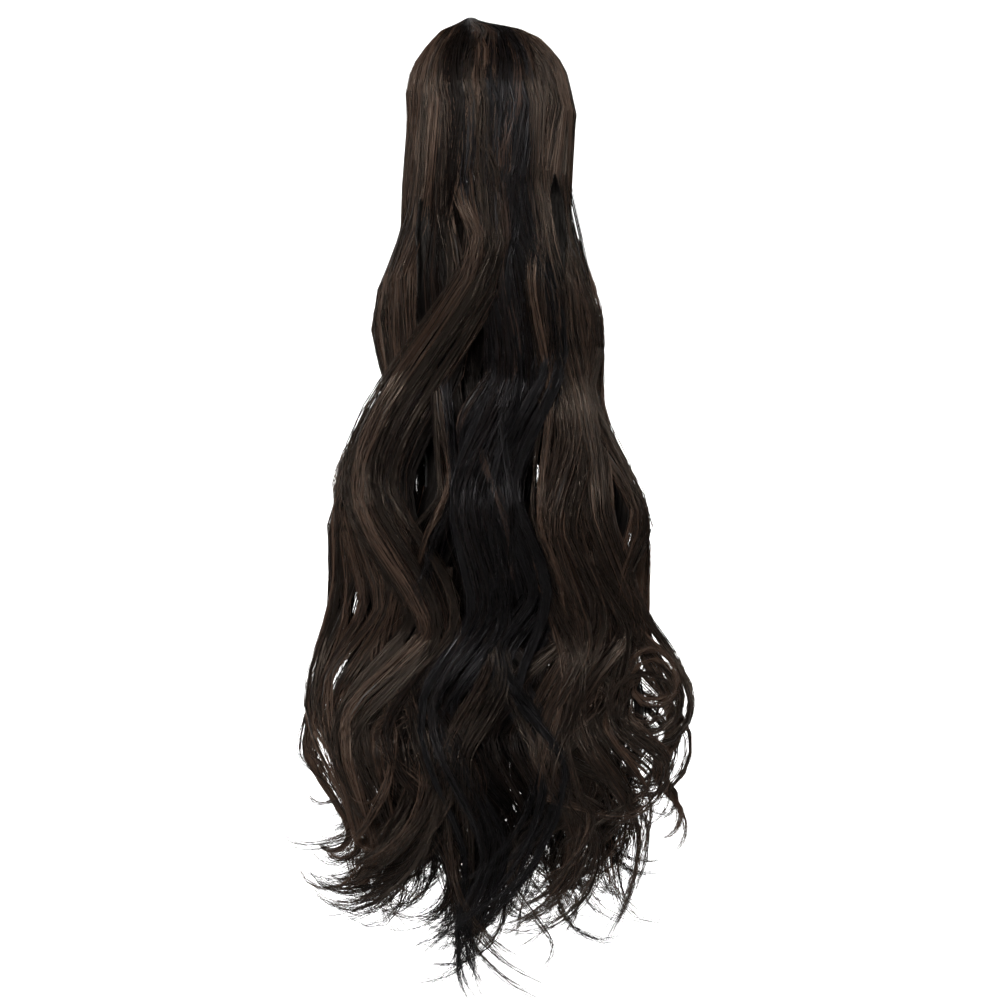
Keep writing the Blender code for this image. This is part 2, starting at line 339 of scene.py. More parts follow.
@dataclass(frozen=True)
class BandFinish:
    """Woven black band with rows of stitching, which the hair is sewn to."""

    name: str = "black_woven_band"
    ground: Colour = (0.008, 0.007, 0.007)
    thread: Colour = (0.030, 0.026, 0.025)
    thread_pitch: float = 0.0009
    row_pitch: float = 0.0055
    jaw_radius: float = 0.029

    def material(self) -> bpy.types.Material:
        """Builds the material.

        Returns:
            The material.
        """
        graph = Graph(self.name)
        place = graph.node("ShaderNodeTexCoord", None, None, output="Object")
        x, y, z = (graph.node("ShaderNodeSeparateXYZ", None, {0: place}, output=i) for i in range(3))
        angle = graph.node("ShaderNodeMath", {"operation": "ARCTAN2"}, {0: y, 1: x})
        turns = math.tau / self.thread_pitch
        over = (angle * self.jaw_radius * turns).wave()
        under = (z * turns).wave()
        weave = over * under
        rows = (z * (math.tau / self.row_pitch)).wave() ** 8.0
        height = weave * 0.6 + rows
        bump = graph.node("ShaderNodeBump", None, {"Height": height, "Strength": 0.7, "Distance": 0.0004})
        graph.feed(graph.shader, {
            "Base Color": graph.mix(rows * 0.7 + weave * 0.2, self.ground, self.thread),
            "Roughness": 0.85,
            "Normal": bump,
        })
        return graph.material


@dataclass(frozen=True)
class BackdropFinish:
    """Pale matte paper with a trace of tooth."""

    name: str = "pale_backdrop"
    colour: Colour = (0.90, 0.90, 0.90)

    def material(self) -> bpy.types.Material:
        """Builds the material.

        Returns:
            The material.
        """
        graph = Graph(self.name)
        graph.feed(graph.shader, {
            "Base Color": rgba(self.colour), "Roughness": 0.95, "Specular IOR Level": 0.1,
        })
        return graph.material


# Meshes and objects
def mesh_from(bm: bmesh.types.BMesh, name: str) -> bpy.types.Mesh:
    """Turns a bmesh into a mesh and lets the bmesh go.

    Args:
        bm: The bmesh.
        name: The mesh's name.

    Returns:
        The mesh.
    """
    mesh = bpy.data.meshes.new(name)
    bm.to_mesh(mesh)
    bm.free()
    return mesh


def added(name: str, data: bpy.types.ID) -> bpy.types.Object:
    """Adds an object to the scene.

    Args:
        name: The object's name.
        data: Its mesh, light or camera.

    Returns:
        The object.
    """
    made = bpy.data.objects.new(name, data)
    bpy.context.scene.collection.objects.link(made)
    return made


# The shape of the hair
def eased(share: Array) -> Array:
    """A smooth step from 0 to 1, held at both ends."""
    held = np.clip(share, 0.0, 1.0)
    return held * held * (3 - 2 * held)


def table(names: str, *rows: tuple[float, ...]) -> dict[str, Array]:
    """Turns rows of numbers into named columns.

    Args:
        names: The columns' names, with spaces between.
        rows: The numbers, a row for each level.

    Returns:
        The columns by name.
    """
    return dict(zip(names.split(), np.array(rows, float).T))


CROWN_HEIGHT = 61.0
CROWN_DROP = 101.0
CROWN = table(
    "drop left right front back",
    (0.0, 15, -9, 5, 2), (3.0, 18, -5, 11, 6), (9.0, 29, 21, 21, 12), (15.0, 34, 31, 29, 16),
    (21.0, 39, 36, 35, 19), (27.0, 43, 41, 39, 21), (46.0, 49, 48, 48, 24), (64.0, 49, 52, 50, 25),
    (82.0, 50, 51, 50, 25), (101.0, 52, 48, 49, 24),
)
LEVELS = table(
    "drop reach front middle back bow",
    (100, 50, -39, -8, 19, 17), (165, 63, -42, -11, 18, 14), (228, 67, -32, -4, 25, 11),
    (304, 89, -55, -17, 14, 15), (388, 99, -28, -4, 26, 10), (456, 105, -54, -17, 14, 15),
    (520, 96, -34, -5, 25, 9), (620, 70, -38, -8, 22, 6),
)


def curved(wanted: Array, places: Array, values: Array) -> Array:
    """Values between the rows of a table, on a smooth curve through the rows.

    Args:
        wanted: The places that are asked for.
        places: The rows' places.
        values: The rows' values.

    Returns:
        A value for each place.
    """
    slopes = np.gradient(values, places)
    row = np.clip(np.searchsorted(places, wanted) - 1, 0, len(places) - 2)
    width = places[row + 1] - places[row]
    t = (wanted - places[row]) / width
    start, end = values[row], values[row + 1]
    bend = (start - end) * 2 + (slopes[row] + slopes[row + 1]) * width
    return start + t * (slopes[row] * width + t * ((end - start - slopes[row] * width) - bend * (1 - t)))


def level(column: str, drop: Array) -> Array:
    """A column of LEVELS at any drop, eased between its rows.

    Args:
        column: The column's name.
        drop: How far below the crown's top.

    Returns:
        A value for each drop.
    """
    drops = LEVELS["drop"]
    row = np.clip(np.searchsorted(drops, drop) - 1, 0, len(drops) - 2)
    share = eased((drop - drops[row]) / (drops[row + 1] - drops[row]))
    values = LEVELS[column]
    return values[row] + (values[row + 1] - values[row]) * share


def across_frames(paths: Array, tiny: float = 1e-12) -> tuple[Array, Array]:
    """Two directions across each strand at each of its points.

    Args:
        paths: Points along each strand: strands, rings, 3.
        tiny: What keeps a length of nought from dividing.

    Returns:
        The direction to the side and the direction outwards.
    """
    along = np.gradient(paths, axis=1)
    along /= np.linalg.norm(along, axis=2, keepdims=True) + tiny
    side = np.cross(along, np.array([0.0, 1.0, 0.0]))
    side /= np.linalg.norm(side, axis=2, keepdims=True) + tiny
    return side, np.cross(side, along)


def crown_surface(angle: Array, drop: Array, lift: Array) -> Array:
    """Points on the crown, or a little proud of it.

    Args:
        angle: Where round the crown, in radians, with the front at minus half pi.
        drop: How far below the crown's top.
        lift: How far outside the surface.

    Returns:
        The points, in millimetres.
    """
    held = np.clip(drop, 0.0, CROWN_DROP)
    left, right, front, back = (
        curved(held, CROWN["drop"], CROWN[side]) for side in ("left", "right", "front", "back")
    )
    depth = np.where(np.sin(angle) > 0, back, front)
    x = (right - left) / 2 + ((right + left) / 2 + lift) * np.cos(angle)
    return np.stack([x, (depth + lift) * np.sin(angle), CROWN_HEIGHT - drop], -1)


# The hair's room: axis, direction, where strands begin to be held back, and the room past it
ROOM = ((0, -1, 112, 18), (0, 1, 118, 18), (2, -1, 532, 20))


def kept_near(points: Array) -> Array:
    """Holds back the strands that stray furthest to the sides and below.

    Args:
        points: Points in millimetres.

    Returns:
        The points, all inside the hair's room.
    """
    held = points.copy()
    for axis, sign, edge, room in ROOM:
        past = sign * points[..., axis] - edge
        inside = sign * (edge + room * np.tanh(past / room))
        held[..., axis] = np.where(past > 0, inside, held[..., axis])
    return held


@dataclass(frozen=True)
class Lock:
    """One wavy lock, which swings from one turning point to the next and ends in a curl."""

    name: str
    layer: Layer
    width: float
    thick: float
    lift: float
    turns: tuple[tuple[float, float], ...]
    curl_radius: float
    curl_sweep: float
    hairs: int = 150
    wisps: int = 7
    # The lock's tone is partly its own brown and partly painted light: high for locks in the light and at
    # the lit edges, low for locks in shade.
    warmth_and_light: float = 0.4
    root_fullness: float = 0.6
    tip_fullness: float = 0.32
    fullest_from: float = 0.35
    fullest_to: float = 0.7
    step: float = 3.0
    root_drop: float = CROWN_DROP - 1
    rings: int = 26
    curl_tightening: float = 0.35
    curl_pitch: float = 14.0
    crown_lift: float = 1.0
    stray_across: float = 2.8
    stray_drop: float = 8.0
    least_turn: float = 14.0

    @property
    def is_lit(self) -> bool:
        """Whether the lock lies outside in the light, so that it takes the lit copy of the hair finish."""
        return self.layer is Layer.FRONT and self.warmth_and_light > 0.3

    def swing(self, drop: Array) -> Array:
        """How far across the lock hangs.

        Args:
            drop: How far below the crown's top.

        Returns:
            The distance from the middle plane at each drop.
        """
        across = np.full_like(drop, self.turns[0][0])
        for (x, high), (next_x, low) in zip(self.turns, self.turns[1:]):
            moved = x + (next_x - x) * eased((drop - high) / (low - high))
            across = np.where(drop > high, moved, across)
        return across

    def depth(self, across: Array, drop: Array) -> Array:
        """Where the lock's middle lies from front to back.

        Args:
            across: How far across it hangs.
            drop: How far below the crown's top.

        Returns:
            The depth at each drop.
        """
        centre, bow = level(self.layer.value, drop), level("bow", drop)
        if self.layer is Layer.MIDDLE:
            return centre + self.lift
        inwards = np.sign(level("middle", drop) - centre) * bow
        share = np.minimum(1.0, np.abs(across) / level("reach", drop))
        return centre + inwards * share ** 2 + self.lift

    def route(self, first: float) -> Array:
        """The lock's middle, down to the end of its curl.

        Args:
            first: The drop at which it starts.

        Returns:
            Points in millimetres.
        """
        last = self.turns[-1][1]
        drop = np.linspace(first, last, round((last - first) / self.step) + 1)
        across = self.swing(drop)
        body = np.stack([across, self.depth(across, drop), CROWN_HEIGHT - drop], 1)
        sweep = math.radians(abs(self.curl_sweep))
        steps = max(6, round(self.curl_radius * sweep / self.step))
        share = (np.arange(steps) + 0.5) / steps
        stride = self.curl_radius * (1 - self.curl_tightening * share) * sweep / steps
        side = -1.0 if self.curl_sweep > 0 else 1.0
        outwards = 1.0 if self.layer is Layer.BACK else -1.0
        moves = np.stack([
            side * stride * np.sin(sweep * share),
            np.full(steps, outwards * self.curl_pitch * sweep / math.tau / steps),
            -stride * np.cos(sweep * share),
        ], 1)
        return np.concatenate([body, body[-1] + np.cumsum(moves, 0)])

    def fullness(self, share: Array) -> Array:
        """The lock's width along its length.

        Args:
            share: Places along it, from 0 to 1.

        Returns:
            Its width there, as a share of its fullest.
        """
        rise = self.root_fullness + (1 - self.root_fullness) * eased(share / self.fullest_from)
        fall = eased((share - self.fullest_to) / (1 - self.fullest_to))
        return np.where(share < self.fullest_from, rise, 1 - (1 - self.tip_fullness) * fall)

    def wisp(self, rng: np.random.Generator, spread: float = 1.0) -> "Lock":
        """A wisp of this lock, which strays from it more and more towards the tip.

        Args:
            rng: The source of chance.
            spread: How far it strays.

        Returns:
            The lock that the wisp follows.
        """
        count = len(self.turns)
        turns = []
        for number, (across, drop) in enumerate(self.turns):
            share = number / (count - 1)
            across += spread * share * rng.normal(0, self.stray_across)
            drop += spread * share * rng.normal(0, self.stray_drop)
            turns.append((across, drop + (share == 1) * rng.uniform(-18, 8)))
        for number in range(1, count):
            high, low = turns[number - 1][1], turns[number][1]
            turns[number] = (turns[number][0], max(low, high + self.least_turn))
        return replace(
            self, turns=tuple(turns), curl_radius=self.curl_radius * rng.uniform(0.7, 1.2),
            curl_sweep=self.curl_sweep * rng.uniform(0.7, 1.3), curl_pitch=rng.uniform(2, 22),
        )


def front_lock(name: str, width: float, thick: float, lift: float, turns: tuple, radius: float,
               sweep: float, hairs: int, warmth_and_light: float) -> Lock:
    """A lock of the front layer.

    Args:
        name: Its name.
        width: Its width at its fullest.
        thick: Its thickness there.
        lift: How far it lies behind the layer's middle.
        turns: Its turning points, each across and drop.
        radius: The radius of its curl.
        sweep: How far the curl turns, in degrees.
        hairs: How many strands it has.
        warmth_and_light: How brown it is, from 0 to 1: partly the lock's own brown, partly painted light,
            high for locks in the light and low for locks in shade.

    Returns:
        The lock.
    """
    wisps = max(5, hairs // 24)
    return Lock(name, Layer.FRONT, width, thick, lift, turns, radius, sweep, hairs, wisps, warmth_and_light)


# Locks of the front, with turning points read off the photo
FRONT_LEFT = (
    front_lock("left_edge", 14, 10, -1,
               ((-44, 98), (-63, 189), (-56, 234), (-90, 313), (-87, 342), (-108, 421), (-84, 485)),
               16, -150, 120, 0.75),
    front_lock("left_face", 26, 14, 0,
               ((-37, 98), (-54, 168), (-50, 226), (-81, 296), (-67, 363), (-96, 427), (-74, 511)),
               21, 150, 190, 0.62),
    front_lock("left_swoop", 38, 15, -4,
               ((-6, 98), (3, 131), (-72, 288), (-35, 376), (-84, 441), (-63, 517)),
               27, 130, 230, 0.56),
)
# Thin wisps laid over the front, which start on the crown
OVERLAYS = tuple(
    replace(
        front_lock(name, width, 6, -4, turns, radius, sweep, 34, warmth_and_light), wisps=3, root_fullness=0.9
    )
    for name, width, warmth_and_light, radius, sweep, turns in (
        ("over_left", 12, 0.55, 30, 50, ((-28, 98), (-19, 160), (-33, 225), (-27, 290), (-44, 350))),
        ("over_middle_left", 10, 0.24, 40, 40, ((4, 98), (-13, 150), (-27, 215), (-20, 290), (-34, 345))),
        ("over_middle", 9, 0.22, 30, -40, ((-12, 98), (-1, 150), (2, 230), (16, 300), (12, 350))),
        ("over_middle_right", 10, 0.22, 40, 50, ((20, 98), (9, 160), (15, 230), (-1, 300), (6, 360))),
        # over_centre's high tone is a painted highlight on the lit wisps in the middle.
        ("over_centre", 17, 0.80, 40, -40, ((8, 98), (4, 160), (11, 208), (-15, 262), (9, 330))),
        ("over_right", 11, 0.55, 30, -50, ((34, 98), (27, 160), (37, 235), (29, 300), (48, 372))),
    )
)
# The centre locks have a low tone, as painted shade over the hollow between the lit side locks.
FRONT_CENTRE = (
    front_lock("centre_lock", 30, 15, -1,
               ((6, 98), (4, 149), (13, 218), (-13, 302), (1, 364), (-34, 425), (-2, 517), (-18, 570)),
               43, -55, 190, 0.14),
    front_lock("centre_right", 30, 15, 1,
               ((18, 98), (38, 204), (8, 292), (29, 357), (10, 401), (38, 454)),
               116, 68, 190, 0.14),
)
# Front hair that lies in shade between and under the lit locks, with very low tones and the shaded copy of
# the finish, as painted shade.
FRONT_UNDER = (
    front_lock("left_feeder", 28, 14, 1,
               ((-23, 98), (-32, 143), (-24, 197), (-57, 296), (-26, 387), (-56, 448), (-38, 509)),
               38, 110, 160, 0.35),
    replace(
        front_lock("crown_base", 100, 10, 4, ((0, 98), (0, 150), (-4, 250)), 20, 30, 180, 0.02),
        crown_lift=0.2, wisps=12, root_fullness=1.0, tip_fullness=0.5, rings=14,
    ),
)
FRONT_RIGHT = (
    front_lock("right_face", 29, 14, 0,
               ((30, 98), (40, 186), (54, 259), (40, 314), (60, 375), (36, 439), (53, 506)),
               70, 78, 190, 0.45),
    front_lock("right_inner", 27, 14, 1,
               ((38, 98), (43, 174), (61, 296), (82, 379), (57, 427), (92, 496)),
               104, 42, 180, 0.60),
    front_lock("right_edge", 14, 10, 0,
               ((43, 98), (45, 122), (63, 203), (58, 236), (92, 313), (81, 356), (118, 422)),
               22, 430, 150, 0.75),
)
LEFT_OUTER = Lock(
    "left_outer", Layer.MIDDLE, 14, 14, 0,
    ((-45, 98), (-68, 195), (-59, 236), (-93, 323), (-91, 357), (-112, 451), (-88, 502)), 13, 150,
    130, 6, 0.8,
)
RIGHT_OUTER = Lock(
    "right_outer", Layer.MIDDLE, 14, 14, 0,
    ((43, 98), (65, 201), (63, 230), (93, 332), (92, 375), (114, 436), (104, 461), (117, 483)), 18, 70,
    130, 6, 0.8,
)


@dataclass(frozen=True)
class Filler:
    """A lock that others hide, whose turning points follow from the ponytail's width and a wave."""

    name: str
    layer: Layer
    width: float
    thick: float
    share: float
    swing: float
    phase: float
    length: float
    hairs: int
    wave: float = 130.0
    curl_radius: float = 34.0
    curl_sweep: float = 100.0
    inside: float = 0.86
    # Hidden locks get a low tone, as painted shade.
    warmth_and_light: float = 0.08

    def lock(self) -> Lock:
        """Works out the lock's turning points.

        Returns:
            The lock.
        """
        first, last = CROWN_DROP - 3, self.length - self.curl_radius
        count = round((last - first) / (self.wave / 2))
        turns = []
        for number in range(count + 1):
            drop = first + (last - first) * number / count
            sway = self.swing * math.cos(math.pi * number + math.tau * self.phase) * min(1, number / 2)
            reach = float(level("reach", np.array(drop)))
            turns.append((self.share * reach * self.inside + sway, drop))
        sweep = math.copysign(self.curl_sweep, -self.share or 1)
        return Lock(
            self.name, self.layer, self.width, self.thick, 0, tuple(turns), self.curl_radius, sweep,
            self.hairs, max(5, self.hairs // 13), self.warmth_and_light, rings=20,
        )


# Locks that the front and the sides hide, and those of the back
LEFT_FILLERS = (
    Filler("left_body", Layer.MIDDLE, 46, 44, -0.82, 6, 0.0, 535, 100),
    Filler("left_core", Layer.MIDDLE, 44, 46, -0.40, 8, 0.5, 575, 100),
)
RIGHT_FILLERS = (
    Filler("middle_core", Layer.MIDDLE, 40, 40, 0.02, 6, 0.3, 560, 60),
    Filler("right_body", Layer.MIDDLE, 46, 44, 0.83, 6, 0.6, 530, 100),
    Filler("right_core", Layer.MIDDLE, 44, 46, 0.40, 8, 0.5, 560, 100),
)
BACK_FILLERS = (
    Filler("back_1", Layer.BACK, 28, 14, -0.90, 7, 0.2, 505, 70),
    Filler("back_2", Layer.BACK, 34, 16, -0.60, 9, 0.6, 545, 74),
    Filler("back_3", Layer.BACK, 34, 16, -0.30, 9, 0.0, 560, 74),
    Filler("back_4", Layer.BACK, 34, 16, 0.00, 9, 0.5, 580, 74),
    Filler("back_5", Layer.BACK, 34, 16, 0.30, 9, 0.1, 555, 74),
    Filler("back_6", Layer.BACK, 34, 16, 0.60, 9, 0.7, 540, 74),
    Filler("back_7", Layer.BACK, 28, 14, 0.90, 7, 0.3, 500, 70),
)


def low_lock(name: str, layer: Layer, turns: tuple, radius: float, sweep: float,
             warmth_and_light: float) -> Lock:
    """A lock of the lower half with a wide curl at its end.

    Args:
        name: Its name.
        layer: The layer it hangs in.
        turns: Its turning points, each across and drop.
        radius: The radius of its curl.
        sweep: How far the curl turns, in degrees.
        warmth_and_light: How brown it is, from 0 to 1: partly the lock's own brown, partly painted light,
            high for locks in the light and low for locks in shade.

    Returns:
        The lock.
    """
    return Lock(
        name, layer, 26, 14, 0, turns, radius, sweep, 64, 5, warmth_and_light, root_fullness=0.3,
        tip_fullness=0.6, fullest_to=0.75, root_drop=turns[0][1], rings=21,
    )


# Locks of the lower half with the wide hooks and rings of the outline
LEFT_LOW = (
    low_lock("left_hook_1", Layer.FRONT, ((-50, 330), (-62, 392), (-44, 460)), 86, 84, 0.45),
    low_lock("left_hook_2", Layer.MIDDLE, ((-62, 300), (-80, 380), (-52, 468)), 52, 104, 0.50),
    low_lock("left_hook_3", Layer.FRONT, ((-26, 340), (-44, 405), (-26, 472)), 88, 76, 0.35),
    low_lock("left_low", Layer.BACK, ((-22, 320), (-42, 400), (-22, 500)), 56, 88, 0.20),
    low_lock("left_hook_4", Layer.MIDDLE, ((-40, 320), (-60, 400), (-38, 484)), 60, 92, 0.35),
    low_lock("centre_tail", Layer.FRONT, ((-14, 340), (4, 400), (-22, 462), (-18, 520)), 92, -62, 0.35),
    low_lock("centre_low", Layer.MIDDLE, ((8, 300), (-8, 365), (12, 430), (2, 500)), 44, 84, 0.10),
)
RIGHT_LOW = (
    low_lock("right_ring", Layer.MIDDLE, ((66, 300), (88, 352), (74, 402), (110, 452)), 27, 210, 0.50),
    low_lock("right_tail", Layer.FRONT, ((62, 330), (88, 380), (74, 430), (104, 474)), 32, 120, 0.50),
    low_lock("right_hook_1", Layer.MIDDLE, ((46, 300), (72, 370), (56, 440), (86, 486)), 42, 112, 0.45),
    low_lock("right_hook_3", Layer.MIDDLE, ((40, 320), (64, 390), (46, 450), (66, 500)), 40, 100, 0.35),
    low_lock("right_hook_2", Layer.FRONT, ((28, 330), (52, 400), (36, 466), (60, 512)), 48, 104, 0.35),
)


@dataclass(frozen=True)
class Undergrowth:
    """Locks of the lower half, which start inside the hair and fill it out down to the tips.

    The side is -1 for the left and 1 for the right. The rise is how much shorter the outermost
    lock is. The two shares of locks that curl outwards are for those near the middle and the rest.
    """

    side: int
    seed: int
    rise: float
    inner_outwards: float
    outer_outwards: float = 0.5
    count: int = 17
    first: float = 290.0
    front_first: float = 380.0
    lowest: float = 590.0
    wave: float = 62.0
    hairs: int = 40
    outermost: float = 0.84
    radii: tuple[float, float] = (24, 56)
    sways: tuple[float, float] = (8, 18)
    sweeps: tuple[float, float] = (50, 125)
    widths: tuple[float, float] = (20, 30)
    front_lifts: tuple[float, float] = (1, 13)
    middle_lifts: tuple[float, float] = (-9, 9)
    back_lifts: tuple[float, float] = (-12, 0)

    def locks(self) -> tuple[Lock, ...]:
        """Works out the locks of one side.

        Returns:
            The locks, from the middle outwards.
        """
        rng = np.random.default_rng(self.seed)
        layers = (Layer.MIDDLE, Layer.FRONT, Layer.BACK)
        made = []
        for number in range(self.count):
            share = self.outermost * (number + rng.uniform(0.1, 0.9)) / self.count
            radius = rng.uniform(*self.radii) * (1 - 0.40 * share)
            last = self.lowest - self.rise * share ** 1.5 + rng.uniform(-24, 6) - radius
            steps = max(2, round((last - self.first) / self.wave))
            layer = layers[number % 3]
            first = self.front_first if layer is Layer.FRONT else self.first
            phase, sway = rng.choice([-1, 1]), rng.uniform(*self.sways)
            turns = []
            for step in range(steps + 1):
                drop = first + (last - first) * step / steps + rng.normal(0, 7) * (step > 0)
                reach = float(level("reach", np.array(drop)))
                middle = self.side * share * reach * (0.80 + 0.06 * step / steps)
                turns.append((middle + phase * sway * (-1) ** step, drop))
            outwards = rng.uniform() < (self.outer_outwards if share > 0.45 else self.inner_outwards)
            sweep = -self.side * rng.uniform(*self.sweeps) * (1 if outwards else -1)
            lift = {
                Layer.FRONT: rng.uniform(*self.front_lifts),
                Layer.MIDDLE: rng.uniform(*self.middle_lifts),
                Layer.BACK: rng.uniform(*self.back_lifts),
            }
            # The tone rises from the middle towards the outside, as painted light on the lit edges.
            made.append(Lock(
                f"under_{number}", layer, rng.uniform(*self.widths), 16, lift[layer], tuple(turns),
                radius, sweep, self.hairs, 4, 0.12 + 0.5 * share, root_fullness=0.3, tip_fullness=0.6,
                fullest_to=0.75, root_drop=first, rings=17,
            ))
        return tuple(made)


@dataclass
class StrandMesh:
    """Many closed strands of one ring count, made as an array of one template."""

    rings: int
    sides: int = 3
    map_width: float = 0.004

    def template(self) -> bpy.types.Mesh:
        """Makes a straight strand: a ring extruded downwards ring by ring, with both ends closed.

        Returns:
            The strand's mesh.
        """
        bm = bmesh.new()
        bmesh.ops.create_circle(bm, segments=self.sides, radius=1.0)
        edges = list(bm.edges)
        for _ in range(self.rings - 1):
            made = bmesh.ops.extrude_edge_only(bm, edges=edges)["geom"]
            verts = [v for v in made if isinstance(v, bmesh.types.BMVert)]
            lines = [e for e in made if isinstance(e, bmesh.types.BMEdge)]
            edges = [e for e in lines if all(v in verts for v in e.verts)]
            bmesh.ops.translate(bm, vec=(0, 0, -1), verts=verts)
        bmesh.ops.holes_fill(bm, edges=[e for e in bm.edges if e.is_boundary])
        bmesh.ops.recalc_face_normals(bm, faces=bm.faces)
        for face in bm.faces:
            face.smooth = True
        return mesh_from(bm, "strand")

    def build(self, paths: Array, radii: Array, tones: Array, uv_name: str) -> bpy.types.Mesh:
        """Copies the template once for each path, and bends each copy along its path.

        Args:
            paths: Points along each strand, in metres: strands, rings, 3.
            radii: Half the strand's width and half its thickness at each point: strands, rings, 2.
            tones: Each strand's tone, from 0 to 1.
            uv_name: The name of the map that holds tone and place along the strand.

        Returns:
            The mesh of all the strands.
        """
        count = len(paths)
        strand = self.template()
        co = np.zeros(len(strand.vertices) * 3)
        strand.vertices.foreach_get("co", co)
        co = co.reshape(-1, 3)
        ring, angle = np.round(-co[:, 2]).astype(int), np.arctan2(co[:, 1], co[:, 0])
        helper = added("strands", strand)
        array = helper.modifiers.new("Copies", "ARRAY")
        array.count, array.use_relative_offset, array.use_constant_offset = count, False, True
        array.constant_offset_displace = (0, 0, 0)
        shown = helper.evaluated_get(bpy.context.evaluated_depsgraph_get())
        mesh = bpy.data.meshes.new_from_object(shown)
        bpy.data.objects.remove(helper)
        side, out = across_frames(paths)
        size = radii[:, ring] * np.stack([np.cos(angle), np.sin(angle)], 1)
        places = paths[:, ring] + side[:, ring] * size[..., :1] + out[:, ring] * size[..., 1:]
        mesh.vertices.foreach_set("co", places.astype(np.float32).ravel())
        self.lay_map(mesh, ring, angle, tones, uv_name)
        mesh.update()
        return mesh

    def lay_map(self, mesh: bpy.types.Mesh, ring: Array, angle: Array, tones: Array,
                uv_name: str) -> None:
        """Gives each strand a thin column of the map: its tone across, its length upwards.

        Args:
            mesh: The mesh of all the strands.
            ring: The ring of each of the template's vertices.
            angle: The angle of each of the template's vertices.
            tones: Each strand's tone.
            uv_name: The map's name.
        """
        corners = np.zeros(len(mesh.loops), np.int32)
        mesh.loops.foreach_get("vertex_index", corners)
        strand, local = np.divmod(corners, len(ring))
        u = 0.08 + 0.88 * tones[strand] + self.map_width * (angle[local] / math.pi)
        v = 0.01 + 0.98 * ring[local] / (self.rings - 1)
        layer = mesh.uv_layers.new(name=uv_name)
        layer.uv.foreach_set("vector", np.stack([u, v], 1).astype(np.float32).ravel())


